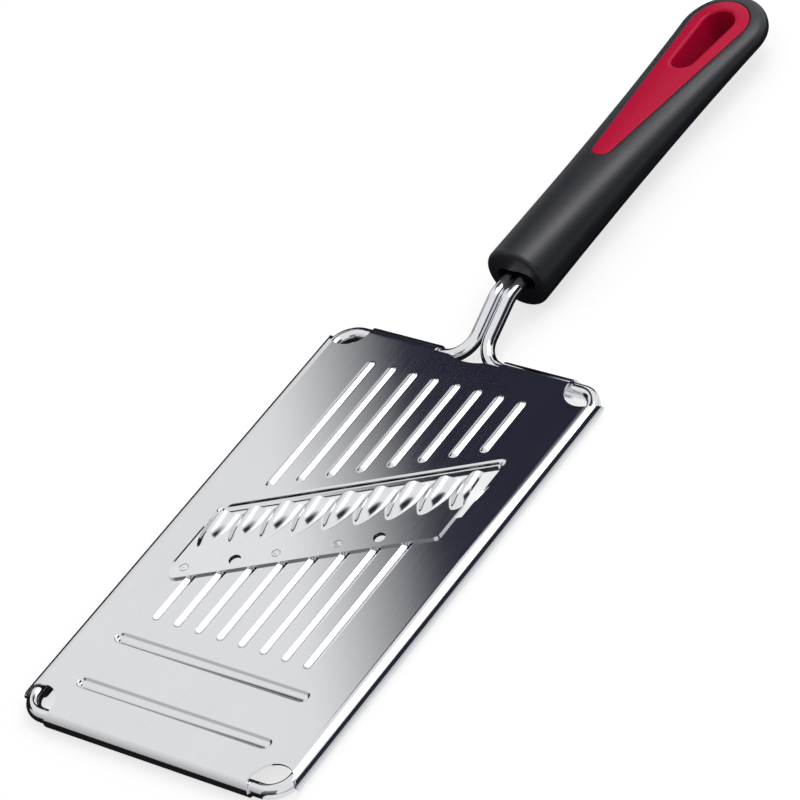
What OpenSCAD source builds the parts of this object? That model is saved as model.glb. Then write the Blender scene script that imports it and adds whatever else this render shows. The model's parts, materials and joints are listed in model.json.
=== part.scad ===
// Hand-held waffle cutter: a sheet steel plate hemmed over a bent wire frame,
// a riveted corrugated blade set at a slant over a slot, and a moulded handle
// with a soft inlay that lines the hanging eye. Millimetres, +Z up, +Y towards
// the handle, origin under the middle of the whole cutter.

/* [Plate] */
// Width of the plate over its hems
plate_w = 113.5; // [90:0.5:130]
// Length of the plate over its hems
plate_l = 186; // [170:1:230]
// Thickness of the sheet
sheet_t = 0.7; // [0.5:0.1:1]
// How far a hem curls round the wire, in degrees
hem_wrap = 240; // [200:5:260]
// Radius of the round notch at each corner
notch_r = 8; // [6:0.5:9]
// Distance of a notch's centre from the plate's side edge
notch_side = 7.4; // [6:0.1:9]
// Distance of a notch's centre from the plate's top or lower edge
notch_end = 4.2; // [3:0.1:7]
// Width of the gap between the two tabs of the top hem
tab_gap = 27; // [26:1:36]
// Depth of that gap in the flat sheet, below the plate's top edge
tab_depth = 4.5; // [4:0.1:5]
// Width of the round scallop that clears the shanks, at the plate's top edge
scallop_w = 28; // [26:1:40]
// Depth of the scallop below the plate's top edge
scallop_depth = 6.1; // [5.2:0.1:8]

/* [Wire frame] */
// Diameter of the wire
wire_d = 5; // [4:0.25:6]
// Gap all round between the wire and what grips it
wire_clearance = 0.1; // [0.05:0.05:0.2]
// Bend radius of the frame's corners, at the wire's middle
corner_r = 8; // [6:0.5:12]
// Bend radius where the shanks turn out along the top edge
neck_r = 10; // [6:0.5:10]
// Bend radius where the shanks level out below the handle
level_r = 10; // [6:0.5:12]
// Gap between the two shanks
shank_gap = 0.2; // [0.1:0.1:1]
// Length of level shank in front of the handle
shank_level = 8; // [3:0.5:9]
// Length of shank held inside the handle
shank_grip = 45; // [30:1:50]

/* [Ribs and grooves] */
// Number of ribs, and of the grooves in line with them
rib_count = 8; // [4:1:8]
// Distance between neighbouring ribs
rib_pitch = 9; // [8:0.25:9.5]
// Width of a rib or groove at the sheet
rib_w = 4; // [3:0.25:5]
// Height of a rib, and depth of a groove
rib_h = 1.2; // [0.8:0.1:1.6]
// Distance from the plate's top edge to the ribs
rib_margin = 15.4; // [12:0.1:20]
// Distance from the ribs to the slot's bent edge, along the ribs
rib_to_slot = 4.6; // [3:0.1:9]
// Distance from the plate's lower edge to the grooves
groove_margin = 47.1; // [44:0.1:55]
// Length of groove that runs on under the blade
groove_under = 2; // [1:0.5:2.5]
// Length of a cross bead
bead_l = 79; // [60:1:85]
// Width of a cross bead
bead_w = 3.4; // [2.5:0.1:4.5]
// Depth of a cross bead
bead_depth = 1; // [0.6:0.1:1.2]
// Distance from the plate's lower edge to the first cross bead
bead_margin = 17.4; // [15:0.1:19]
// Distance between the two cross beads
bead_pitch = 20.2; // [15:0.1:22]

/* [Slot] */
// Slant of the slot and blade, in degrees
slant = 30; // [20:1:32]
// Width of the slot
slot_w = 84; // [80:1:88]
// Length of the slot along the plate
slot_l = 27.7; // [25:0.1:30]
// Distance from the plate's lower edge to the slot's bent edge, at the middle
slot_place = 122.8; // [117:0.1:125]
// Mean bend radius of the step at the slot's bent edge
step_r = 0.85; // [0.7:0.05:1.1]
// Angle of the step's face, in degrees
step_angle = 75; // [50:5:80]
// Width of the low strip past the step
strip_w = 1.5; // [1:0.1:3.2]

/* [Blade] */
// Width of the blade
blade_w = 80; // [74:1:82]
// Thickness of the blade
blade_t = 0.8; // [0.6:0.1:1]
// Length of the blade's flat base along the plate
base_l = 13; // [12:0.5:14]
// Radius of the base's two corners
base_corner_r = 2.5; // [1:0.25:4]
// Length of flat base that rests on the plate
base_seat = 9.6; // [8.5:0.1:10.5]
// Distance between neighbouring flutes
flute_pitch = 9.23; // [9:0.01:9.4]
// Distance of the middle flute from the middle of the plate
flute_shift = 1.2; // [0:0.1:2]
// Length of the flutes along the plate
flute_l = 14.6; // [12:0.2:16]
// Rise of the valleys at the cutting edge
valley_rise = 0.6; // [0.3:0.1:1]
// Height of the flutes at the cutting edge
flute_h = 2.9; // [2:0.1:3.2]
// Height that a flute gains at its rounded front
front_h = 2.2; // [1:0.1:2.4]
// Length of the rounded front
front_l = 3.4; // [2:0.1:4]
// How much later a flute's foot leaves the base than its crest
front_round = 5.5; // [3:0.5:6]
// Sharpness of the flutes' crests, where 1 is an even wave
crest_power = 0.8; // [0.7:0.1:1.5]
// Length of the bevel along the cutting edge
bevel_l = 2; // [1:0.25:3]
// Thickness left at the cutting edge
edge_t = 0.15; // [0.1:0.05:0.3]
// Distance of the inner rivets from the middle, in rib pitches
rivet_inner = 1; // [1:1:2]
// Distance of the outer rivet from the middle, in rib pitches
rivet_outer = 4; // [3:1:4]
// Distance of the locating holes from the middle
locating_x = 21; // [20:0.5:22]
// Diameter of the locating holes
locating_d = 4.2; // [3:0.1:4.6]

/* [Rivets] */
// Diameter of a rivet's shank
rivet_d = 1.8; // [1.4:0.1:2]
// Diameter of a rivet's flush head
rivet_head_d = 3; // [2.6:0.1:3.6]
// Depth of a rivet's flush head
rivet_head_t = 0.35; // [0.2:0.05:0.45]
// Thickness of a rivet's closed end under the plate
rivet_tail_t = 0.5; // [0.3:0.1:0.8]
// Gap all round a rivet
rivet_clearance = 0.05; // [0.02:0.01:0.1]

/* [Handle] */
// Length of the handle
handle_l = 145; // [130:1:170]
// Clear distance from the plate to the handle
neck_l = 28.1; // [26:0.1:40]
// Height of the handle's axis above the plate
handle_rise = 5.8; // [5.5:0.1:9]
// Radius of the handle at the shanks
handle_r = 11.9; // [11:0.1:13]
// Half width of the handle at the eye
eye_half_w = 16.3; // [15.5:0.1:18]
// Height of the handle's top above its axis at the eye
eye_top = 5.3; // [4.5:0.1:8]
// Depth of the handle's underside below its axis at the eye
eye_bottom = 6.4; // [5.5:0.1:9]
// Rounding of the handle's edge at the shanks
end_round = 1.5; // [0.6:0.1:2]
// Width of the pocket round the shanks
pocket_w = 15; // [13.5:0.5:18]
// Height of the pocket round the shanks
pocket_h = 7; // [6.5:0.5:9]
// Depth of the pocket round the shanks
pocket_depth = 6; // [3:0.5:12]

/* [Inlay] */
// Distance from the handle's end to the middle of the eye's wide round
eye_back = 17; // [16:0.5:20]
// Radius of the eye's wide round
eye_r = 6; // [5:0.1:7]
// Radius of the eye's narrow round
eye_small_r = 4.3; // [3.5:0.1:4.8]
// Distance between the eye's two rounds
eye_l = 21.5; // [18:0.5:26]
// Wall of the eye's lining
lining_t = 1.6; // [1.2:0.1:2.2]
// Radius of the inlay round the eye
inlay_r = 11.2; // [10.4:0.1:12]
// Radius of the inlay's tip
inlay_tip_r = 3.6; // [3:0.1:4.5]
// Distance between the inlay's two rounds
inlay_l = 71; // [60:1:74]
// Thickness of the inlay under its face
inlay_t = 2.2; // [1.6:0.1:2.8]
// Gap all round the inlay
inlay_clearance = 0.15; // [0.1:0.05:0.3]

/* [Hidden] */
$fn = 64;
// Overlap that keeps a cut or a join from ending on a shared face
over = 0.5;
// Length that is sure to pass right through any piece
through = 60;

hem_bore_r = wire_d/2 + wire_clearance;
hem_r = hem_bore_r + sheet_t;
plate_top = 2*hem_r;
plate_under = plate_top - sheet_t;
half_w = plate_w/2 - hem_r;
y_low = hem_r;
y_high = plate_l - hem_r;

rise_per_mm = tan(slant);
slot_low = slot_place - slot_l;
blade_low = slot_low - base_seat;
blade_front = blade_low + base_l;
blade_edge = blade_front + flute_l;
rivet_line = slot_low - base_seat/2;
rivet_places = [for (k = [-rivet_outer, -rivet_inner, rivet_inner]) k*rib_pitch];
locating_places = [-locating_x, locating_x];
rib_places = [for (i = [0 : rib_count - 1]) (i - (rib_count - 1)/2)*rib_pitch];

handle_start = plate_l + neck_l;
overall_l = handle_start + handle_l;
handle_z = plate_top + handle_rise;
eye_y = overall_l - eye_back;
shank_x = (wire_d + shank_gap)/2;
bend_y = handle_start - shank_level;
neck_slope = atan2(handle_z - hem_r, bend_y - y_high);
level_tangent = level_r*tan(neck_slope/2);

// Distance along the plate of a slanted line, at a distance x from the middle
function slanted(y, x) = y + x*rise_per_mm;

// Puts the origin under the middle of the cutter
module centred() {
    translate([0, -overall_l/2, 0]) children();
}

module both_sides() {
    children();
    mirror([1, 0, 0]) children();
}

// Round-ended solid of revolution along +Y, from y = 0 to y = length
module capsule(r, length) {
    rotate([-90, 0, 0])
        rotate_extrude()
            intersection() {
                square([r + over, length]);
                union() {
                    translate([0, r]) circle(r);
                    translate([0, r]) square([r, length - 2*r]);
                    translate([0, length - r]) circle(r);
                }
            }
}

// Outline with round ends, its middle at the origin
module obround(width, height) {
    straight = width - height;
    square([straight, height], center = true);
    for (side = [-1, 1])
        translate([side*straight/2, 0]) circle(d = height);
}

// Outline of two rounds on the Y axis, joined by straight sides that start just
// inside them, so that each side crosses its rounds at a clear angle
module two_rounds(r_near, r_far, distance) {
    side_inset = 0.01;
    lean = asin((r_far - r_near)/distance);
    r_start = r_near - side_inset;
    r_end = r_far - side_inset;
    near = [r_start*cos(lean), -r_start*sin(lean)];
    far = [r_end*cos(lean), distance - r_end*sin(lean)];
    circle(r_near);
    translate([0, distance]) circle(r_far);
    polygon([near, far, [-far[0], far[1]], [-near[0], near[1]]]);
}

// Part of a ring between two angles
module ring_sector(r_in, r_out, from, to) {
    reach = 2*r_out;
    steps = 6;
    intersection() {
        difference() {
            circle(r_out);
            circle(r_in);
        }
        polygon(concat([[0, 0]],
            [for (i = [0 : steps]) let (a = from + (to - from)*i/steps) [reach*cos(a), reach*sin(a)]]));
    }
}

// Plate

// Radius of a rib's arc, from its width at the sheet and its height
rib_r = (rib_w*rib_w/4 + rib_h*rib_h)/(2*rib_h);
rib_end = plate_l - rib_margin;

// Raised ribs, as solids of a radius about their centre line
module rib_solids(r) {
    for (x = rib_places) {
        start = slanted(slot_place, x) + rib_to_slot;
        translate([x, start + rib_w/2 - r, plate_top + rib_h - rib_r])
            capsule(r, rib_end - start - rib_w + 2*r);
    }
}

// Sunk grooves, as solids of a radius about their centre line
module groove_solids(r) {
    for (x = rib_places) {
        end = slanted(blade_low, x) + groove_under;
        translate([x, groove_margin + rib_w/2 - r, plate_top - rib_h + rib_r])
            capsule(r, end - groove_margin - rib_w + 2*r);
    }
}

// Sunk cross beads with flat floors, grown by a margin
module bead_solids(margin, bottom, top) {
    for (y = [bead_margin, bead_margin + bead_pitch])
        translate([0, y, bottom])
            linear_extrude(top - bottom) obround(bead_l + 2*margin, bead_w + 2*margin);
}

module flat_sheet() {
    translate([-half_w, y_low, plate_under]) cube([2*half_w, y_high - y_low, sheet_t]);
}

// Hem along +X, curled from the sheet's top face round the wire
module hem(length) {
    rotate([90, 0, 90])
        linear_extrude(length, center = true)
            ring_sector(hem_bore_r, hem_r, 90, 90 + hem_wrap);
}

module hems() {
    both_sides()
        translate([-half_w, (y_low + y_high)/2, hem_r]) rotate([0, 0, -90]) hem(y_high - y_low);
    translate([0, y_low, hem_r]) hem(2*half_w);
    translate([0, y_high, hem_r]) rotate([0, 0, 180]) hem(2*half_w);
}

module corner_notches() {
    corner = [notch_side + over, notch_end + over, plate_top + 2*over];
    both_sides()
        for (far = [0, 1])
            translate([0, far*plate_l, -over])
                mirror([0, far, 0])
                    translate([plate_w/2 - notch_side, notch_end, 0]) {
                        cylinder(h = plate_top + 2*over, r = notch_r);
                        translate([0, -corner[1], 0]) cube(corner);
                    }
}

// Gap between the two tabs of the top hem: straight through the hem, with a shallow
// round cut in the flat sheet
module scallop() {
    scallop_r = (scallop_w*scallop_w/4 + scallop_depth*scallop_depth)/(2*scallop_depth);
    translate([0, plate_l - scallop_depth + scallop_r, -over])
        cylinder(h = plate_top + 2*over, r = scallop_r);
    translate([-tab_gap/2, plate_l - tab_depth, -over])
        cube([tab_gap, tab_depth + over, plate_top + 2*over]);
    translate([-tab_gap/2, plate_l - 2*hem_r - over, -over])
        cube([tab_gap, 2*hem_r + 2*over, plate_under - sheet_t + over]);
}

module slot_opening() {
    left = -slot_w/2;
    right = slot_w/2;
    translate([0, 0, -over])
        linear_extrude(plate_top + 2*over)
            polygon([
                [left, slanted(slot_low, left)],
                [right, slanted(slot_low, right)],
                [right, slanted(slot_place, right)],
                [left, slanted(slot_place, left)]
            ]);
}

// Section of the step, with its top at z = 0: it leaves the sheet, runs to -X, bends
// down to the step's angle, bends back and ends in the low strip
module step_section() {
    bend_steps = 8;
    across = 2*step_r*sin(step_angle);
    drop = 2*step_r*(1 - cos(step_angle));
    turns = [for (i = [0 : bend_steps]) step_angle*i/bend_steps];
    turns_back = [for (i = [1 : bend_steps]) step_angle*(1 - i/bend_steps)];
    // Points of the sheet's middle, each with the angle of the sheet there
    middle = concat(
        [[over, 0, 0]],
        [for (a = turns) [-step_r*sin(a), -step_r*(1 - cos(a)), a]],
        [for (a = turns_back) [step_r*sin(a) - across, step_r*(1 - cos(a)) - drop, a]],
        [[-across - strip_w, -drop, 0]]
    );
    upper = [for (m = middle) [m[0] - sheet_t/2*sin(m[2]), m[1] + sheet_t/2*cos(m[2])]];
    lower = [for (m = middle) [m[0] + sheet_t/2*sin(m[2]), m[1] - sheet_t/2*cos(m[2])]];
    last = len(lower) - 1;
    translate([0, -sheet_t/2])
        polygon(concat(upper, [for (i = [0 : last]) lower[last - i]]));
}

// Bent edge of the slot, from one side of the slot to the other
module stepped_edge() {
    intersection() {
        translate([0, slot_place, plate_top])
            rotate([0, 0, 90 + slant])
                rotate([90, 0, 0])
                    linear_extrude(2*slot_w, center = true) step_section();
        translate([-slot_w/2, 0, 0]) cube([slot_w, plate_l, plate_top]);
    }
}

// Holes along the rivet line
module drill(places, d) {
    for (x = places)
        translate([x, slanted(rivet_line, x), 0]) cylinder(h = through, d = d);
}

module cutting_plate() {
    color("silver")
        centred() {
            difference() {
                union() {
                    flat_sheet();
                    hems();
                    intersection() {
                        rib_solids(rib_r);
                        translate([-half_w, 0, plate_under]) cube([2*half_w, plate_l, plate_top]);
                    }
                    intersection() {
                        groove_solids(rib_r + sheet_t);
                        translate([-half_w, 0, 0]) cube([2*half_w, plate_l, plate_top]);
                    }
                    bead_solids(sheet_t, plate_under - bead_depth, plate_under + sheet_t/2);
                }
                rib_solids(rib_r - sheet_t);
                groove_solids(rib_r);
                bead_solids(0, plate_top - bead_depth, plate_top + over);
                corner_notches();
                scallop();
                slot_opening();
                drill(rivet_places, rivet_d + 2*rivet_clearance);
                drill(locating_places, locating_d);
            }
            stepped_edge();
        }
}

// Wire frame

// Lap of the sloping neck into the level wire at both its ends
neck_lap = 0.3;
// How much thinner the neck is, so that its laps stay inside the level wire
neck_thinning = 0.02;
neck_d = wire_d - neck_thinning;

// Straight length of wire along +Y
module wire_run(length, d = wire_d) {
    rotate([-90, 0, 0]) cylinder(h = length, d = d);
}

// Bent length of wire in the XY plane, about the origin
module wire_bend(r, from, to, d = wire_d) {
    rotate([0, 0, from])
        rotate_extrude(angle = to - from)
            translate([r, 0]) circle(d = d);
}

module frame_half() {
    corner_x = half_w - corner_r;
    translate([0, y_low, hem_r]) rotate([0, 0, -90]) wire_run(corner_x);
    translate([corner_x, y_low + corner_r, hem_r]) wire_bend(corner_r, -90, 0);
    translate([half_w, y_low + corner_r, hem_r]) wire_run(y_high - y_low - 2*corner_r);
    translate([corner_x, y_high - corner_r, hem_r]) wire_bend(corner_r, 0, 90);
    translate([shank_x + neck_r, y_high, hem_r]) rotate([0, 0, -90]) wire_run(corner_x - shank_x - neck_r);
}

module shank() {
    slope_l = norm([bend_y - y_high, handle_z - hem_r]) - neck_r - level_tangent;
    translate([shank_x, y_high, hem_r])
        rotate([neck_slope, 0, 0]) {
            translate([neck_r, 0, 0]) rotate([0, 0, -90]) wire_run(neck_lap, neck_d);
            translate([neck_r, neck_r, 0]) wire_bend(neck_r, 180, 270, neck_d);
            translate([0, neck_r, 0]) wire_run(slope_l + neck_lap, neck_d);
        }
    translate([shank_x, bend_y + level_tangent, handle_z - level_r])
        rotate([90, 0, 90]) wire_bend(level_r, 90, 90 + neck_slope);
    translate([shank_x, bend_y + level_tangent, handle_z])
        wire_run(shank_level - level_tangent + shank_grip);
}

module wire_frame() {
    color("gainsboro")
        centred()
            both_sides() {
                frame_half();
                shank();
            }
}

// Blade

// Number of steps in the blade's grid: across its width, along the rounding of its base's corners,
// and from its lower edge to its cutting edge
across_steps = 80;
corner_steps = 6;
along_steps = 19;

// Height of a flute's crest over its valleys at a distance d past its front
function crest_height(d) =
    let (front = front_h*(1 - exp(-pow(d/front_l, 2))), rest = (flute_h - front_h)*d/flute_l)
    d <= 0 ? 0 : front + rest;

// Height of the blade's top face above its base, at x and at d past the flutes' front
function flute_z(x, d) =
    let (wave = pow((1 + cos(360*(x - flute_shift)/flute_pitch))/2, crest_power))
    valley_rise*pow(max(d, 0)/flute_l, 2) + crest_height(d - front_round*(1 - wave))*wave;

function blade_thickness(d) =
    let (to_edge = (flute_l - d)/bevel_l)
    to_edge >= 1 ? blade_t : edge_t + (blade_t - edge_t)*to_edge;

// Length of a base corner's rounding along the blade's side, at the left (-1) or right (1)
function corner_reach(side) = base_corner_r/tan((90 + side*slant)/2);

// How far the rounding draws a row in from the blade's side, at a distance past the lower edge
function corner_inset(side, past) =
    let (q = past - corner_reach(side), m = -side*tan(slant), b = base_corner_r - m*q)
    q >= 0 ? 0 : (b - sqrt(max(b*b - (1 + m*m)*q*q, 0)))/(1 + m*m);

// Distances past the flutes' front: along the base's corners, then along the flutes,
// closer together where the blade curves
function along(j) =
    let (c = j/corner_steps, s = (j - corner_steps - 1)/(along_steps - corner_steps - 1))
    c <= 1 ? corner_reach(-1)*c*c - base_l : flute_l*(s - s*(1 - s)*(1 - s));

// Place across the plate of point i in a row of the grid at d past the flutes' front
function across(i, d) =
    let (left = corner_inset(-1, d + base_l), right = corner_inset(1, d + base_l))
    left - blade_w/2 + (blade_w - left - right)*i/across_steps;

// Blade before drilling, with its underside at z = 0
module blade_sheet() {
    row = across_steps + 1;
    face = row*(along_steps + 1);
    points = [
        for (top = [1, 0])
            for (j = [0 : along_steps])
                for (i = [0 : across_steps])
                    let (d = along(j), x = across(i, d), z = blade_t + flute_z(x, d))
                    [x, slanted(blade_front + d, x), top == 1 ? z : z - blade_thickness(d)]
    ];
    top_faces = [
        for (j = [0 : along_steps - 1])
            for (i = [0 : across_steps - 1])
                let (a = j*row + i)
                for (t = [[a, a + row, a + 1], [a + 1, a + row, a + row + 1]]) t
    ];
    low_faces = [for (t = top_faces) [face + t[0], face + t[2], face + t[1]]];
    side_faces = [
        for (j = [0 : along_steps - 1])
            let (a = j*row, b = j*row + across_steps)
            for (t = [[a, a + face, a + row], [a + row, a + face, a + face + row],
                [b, b + row, b + face], [b + row, b + face + row, b + face]]) t
    ];
    end_faces = [
        for (i = [0 : across_steps - 1])
            let (a = i, b = along_steps*row + i)
            for (t = [[a, a + 1, a + face], [a + 1, a + face + 1, a + face],
                [b, b + face, b + 1], [b + 1, b + face, b + face + 1]]) t
    ];
    polyhedron(points, concat(top_faces, low_faces, side_faces, end_faces));
}

module waffle_blade() {
    color("whitesmoke")
        centred()
            difference() {
                translate([0, 0, plate_top]) blade_sheet();
                drill(rivet_places, rivet_d + 2*rivet_clearance);
                drill(locating_places, locating_d);
                translate([0, 0, plate_top + blade_t - rivet_head_t - rivet_clearance])
                    drill(rivet_places, rivet_head_d + 2*rivet_clearance);
            }
}

// Rivets

module rivet() {
    tail_z = plate_under - rivet_clearance - rivet_tail_t;
    head_z = plate_top + blade_t - rivet_head_t;
    translate([0, 0, tail_z]) {
        cylinder(h = rivet_tail_t, d = rivet_head_d);
        cylinder(h = plate_top + blade_t - tail_z, d = rivet_d);
    }
    translate([0, 0, head_z]) cylinder(h = rivet_head_t, d = rivet_head_d);
}

module blade_rivets() {
    color("lightgray")
        centred()
            for (x = rivet_places)
                translate([x, slanted(rivet_line, x), 0]) rivet();
}

// Handle

// Number of points in a section of the handle, and of sections along it
ring_sides = 40;
ring_count = 30;
// Where the handle stops widening and its round end begins
widest = handle_l - eye_half_w;
widening_power = 2.3;
// Superellipse power of the handle's section at the shanks and at the eye
round_power = 2;
flat_power = 2.5;
// Superellipse power of the handle's round end, in plan and in side view
plan_power = 2;
side_power = 3;

function toward_eye(d) = min(d/widest, 1);

// Share of the full section left at a distance d, past the widest place
function end_share(d, power) =
    let (past = (d - widest)/eye_half_w)
    past > 0 ? pow(max(1 - pow(past, power), 0), 1/power) : 1;

// How far the rounded edge at the shanks draws the section in
function edge_inset(d) =
    let (before = max(end_round - d, 0)/end_round)
    end_round*(1 - sqrt(1 - before*before));

function half_width(d) =
    let (widening = (eye_half_w - handle_r)*pow(toward_eye(d), widening_power))
    (handle_r + widening - edge_inset(d))*end_share(d, plan_power);

function top_height(d) =
    (handle_r + (eye_top - handle_r)*toward_eye(d) - edge_inset(d))*end_share(d, side_power);

function under_depth(d) =
    (handle_r + (eye_bottom - handle_r)*toward_eye(d) - edge_inset(d))*end_share(d, side_power);

function signed_pow(v, p) = sign(v)*pow(abs(v), p);

// Points of the handle's section at a distance d from its shank end
function handle_ring(d) =
    let (power = round_power + (flat_power - round_power)*toward_eye(d))
    [for (i = [0 : ring_sides - 1])
        let (a = 360*i/ring_sides, height = sin(a) > 0 ? top_height(d) : under_depth(d))
        [half_width(d)*signed_pow(cos(a), 2/power), d, height*signed_pow(sin(a), 2/power)]];

// Places of the sections, closer together at both ends
function ring_place(k) = handle_l*(1 - cos(180*k/ring_count))/2;

// Whole outer form of the handle, closed by a flat face at the shanks and a tip
module handle_skin() {
    tip = ring_count*ring_sides;
    last = tip - ring_sides;
    points = concat(
        [for (k = [0 : ring_count - 1]) each handle_ring(ring_place(k))],
        [[0, handle_l, 0]]
    );
    walls = [
        for (k = [0 : ring_count - 2])
            for (i = [0 : ring_sides - 1])
                let (next = (i + 1)%ring_sides, a = k*ring_sides + i, b = k*ring_sides + next)
                for (t = [[a, b, a + ring_sides], [b, b + ring_sides, a + ring_sides]]) t
    ];
    near_face = [for (i = [0 : ring_sides - 1]) ring_sides - 1 - i];
    tip_faces = [for (i = [0 : ring_sides - 1]) [last + i, last + (i + 1)%ring_sides, tip]];
    translate([0, handle_start, handle_z])
        polyhedron(points, concat(walls, [near_face], tip_faces));
}

// Slope of the handle's top face, in degrees
top_slope = atan2(handle_r - eye_top, widest);

// Prism on an outline about the eye, standing on the slope of the handle's top face
module top_prism(below) {
    translate([0, eye_y, handle_z + eye_top])
        rotate([-top_slope, 0, 0])
            translate([0, 0, -below]) linear_extrude(through) children();
}

module through_prism() {
    translate([0, eye_y, handle_z - through/2]) linear_extrude(through) children();
}

module eye_outline(margin) {
    rotate(180) two_rounds(eye_r + margin, eye_small_r + margin, eye_l);
}

module inlay_outline(margin) {
    rotate(180) two_rounds(inlay_r + margin, inlay_tip_r + margin, inlay_l);
}

// Hole along the handle's axis, from just outside its face at the shanks
module axial_hole(depth, width, height) {
    translate([0, handle_start - over, handle_z])
        rotate([-90, 0, 0])
            linear_extrude(depth + over) obround(width, height);
}

module handle_body() {
    color("#26262b")
        centred()
            difference() {
                handle_skin();
                axial_hole(pocket_depth, pocket_w, pocket_h);
                axial_hole(shank_grip + wire_clearance, 2*(shank_x + hem_bore_r), 2*hem_bore_r);
                top_prism(inlay_t + inlay_clearance) inlay_outline(inlay_clearance);
                through_prism() eye_outline(lining_t + inlay_clearance);
            }
}

module handle_inlay() {
    color("crimson")
        centred()
            difference() {
                intersection() {
                    handle_skin();
                    union() {
                        top_prism(inlay_t) inlay_outline(0);
                        through_prism() eye_outline(lining_t);
                    }
                }
                through_prism() eye_outline(0);
            }
}

cutting_plate();
wire_frame();
waffle_blade();
blade_rivets();
handle_body();
handle_inlay();
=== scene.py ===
# %% [markdown]
# # A waffle crinkle cutter in a white studio
#
# The cutter is a steel plate hemmed over a bent wire, with a fluted blade across a slanted
# slot and a black moulded handle that carries a red inlay. The CAD part gives the sizes and the
# places. This lesson gives every piece the soft bends, edges and finishes of the real thing, and
# then lights it the way shiny metal is lit: with white all round and a few dark cards.

# %% Load the frame
import json
import math

import bmesh
import bpy
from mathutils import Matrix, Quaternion, Vector
from mathutils.geometry import delaunay_2d_cdt

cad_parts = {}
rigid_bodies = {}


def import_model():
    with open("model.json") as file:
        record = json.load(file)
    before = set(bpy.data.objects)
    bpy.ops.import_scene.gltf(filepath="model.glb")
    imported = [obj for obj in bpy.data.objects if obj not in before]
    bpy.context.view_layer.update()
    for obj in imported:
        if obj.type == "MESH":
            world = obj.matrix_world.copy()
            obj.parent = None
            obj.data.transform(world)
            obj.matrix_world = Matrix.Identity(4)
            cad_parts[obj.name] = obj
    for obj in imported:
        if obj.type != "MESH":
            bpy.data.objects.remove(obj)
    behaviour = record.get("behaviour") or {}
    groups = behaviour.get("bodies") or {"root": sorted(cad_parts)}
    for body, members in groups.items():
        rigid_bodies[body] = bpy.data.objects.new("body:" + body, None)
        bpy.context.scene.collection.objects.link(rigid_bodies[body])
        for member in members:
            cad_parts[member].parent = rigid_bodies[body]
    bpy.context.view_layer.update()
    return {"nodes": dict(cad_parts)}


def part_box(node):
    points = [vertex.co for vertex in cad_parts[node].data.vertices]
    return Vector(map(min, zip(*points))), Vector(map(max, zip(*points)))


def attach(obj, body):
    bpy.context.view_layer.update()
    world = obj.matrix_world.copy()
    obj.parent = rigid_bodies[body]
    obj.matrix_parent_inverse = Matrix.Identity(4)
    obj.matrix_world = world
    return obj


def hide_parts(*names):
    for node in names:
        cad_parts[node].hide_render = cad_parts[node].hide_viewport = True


for leftover in list(bpy.data.objects):
    bpy.data.objects.remove(leftover)

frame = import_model()
print("nodes:", ", ".join(sorted(frame["nodes"])))

# %% [markdown]
# Sheet metal is drawn as a flat pattern, in millimetres, so the lesson works in millimetres too.
# On the pattern, x runs across the plate and v runs along it from its lower edge. One function
# turns a place on the pattern into a point of the frame, in metres.

# %% Pattern coordinates
MM = 0.001
plate_low, plate_high = [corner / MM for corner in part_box("cutting_plate")]
plate_w = plate_high.x - plate_low.x
plate_l = plate_high.y - plate_low.y


def at(x, v, z):
    return Vector((x, plate_low.y + v, z)) * MM


print(f"plate {plate_w:.1f} x {plate_l:.1f} mm")

# %% [markdown]
# Two tools make almost every piece. The first one cuts a flat blank: it fills an outline with
# triangles that follow chosen lines, leaves the holes open, and then a bending function lifts each
# point to its place. A press shop works the same way, from a flat blank to a formed sheet. With a
# second bending function the blank also gets an underside and a rim, so the sheet is closed.

# %% Cut and bend a blank
def encloses(loop, point):
    inside = False
    for (x0, v0), (x1, v1) in zip(loop, loop[1:] + loop[:1]):
        if (v0 > point.y) != (v1 > point.y) and point.x < x0 + (point.y - v0) * (x1 - x0) / (v1 - v0):
            inside = not inside
    return inside


def cut_blank(bm, outline, holes, lines, bend, bend_under=None):
    points = []
    edges = []
    for closed, run in [(1, loop) for loop in [outline] + holes] + [(0, line) for line in lines]:
        first = len(points)
        edges += [(first + i, first + (i + 1) % len(run)) for i in range(len(run) - 1 + closed)]
        points += run
    flat, _, faces, *_ = delaunay_2d_cdt([Vector(p) for p in points], edges, [], 1, 1e-5)
    for hole in holes:
        faces = [f for f in faces if not encloses(hole, sum((flat[i] for i in f), Vector((0, 0))) / 3)]
    used = sorted({i for face in faces for i in face})
    upper = {i: bm.verts.new(bend(flat[i].x, flat[i].y)) for i in used}
    for face in faces:
        bm.faces.new([upper[i] for i in face])
    if bend_under is None:
        return
    lower = {i: bm.verts.new(bend_under(flat[i].x, flat[i].y)) for i in used}
    sides = {(face[k - 1], face[k]) for face in faces for k in range(len(face))}
    for face in faces:
        bm.faces.new([lower[i] for i in reversed(face)])
    for a, b in sorted(sides):
        if (b, a) not in sides:
            bm.faces.new((upper[b], upper[a], lower[a], lower[b]))


# %% [markdown]
# The second tool is the loft: it joins one ring of points to the next with quads. Wire, rivets
# and the rounded lips of the mouldings are all lofts.

# %% Loft rings
def loft(bm, rings):
    rows = [[bm.verts.new(p) for p in ring] for ring in rings]
    for row, following in zip(rows, rows[1:]):
        for i in range(len(row)):
            j = (i + 1) % len(row)
            bm.faces.new((row[i], row[j], following[j], following[i]))
    return rows


# %% [markdown]
# A finished mesh becomes a piece of the object: it rides on the frame's only body, and the CAD node
# that it replaces is hidden. Points that meet are welded first.

# %% Make a piece
WELD = 0.002


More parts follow.
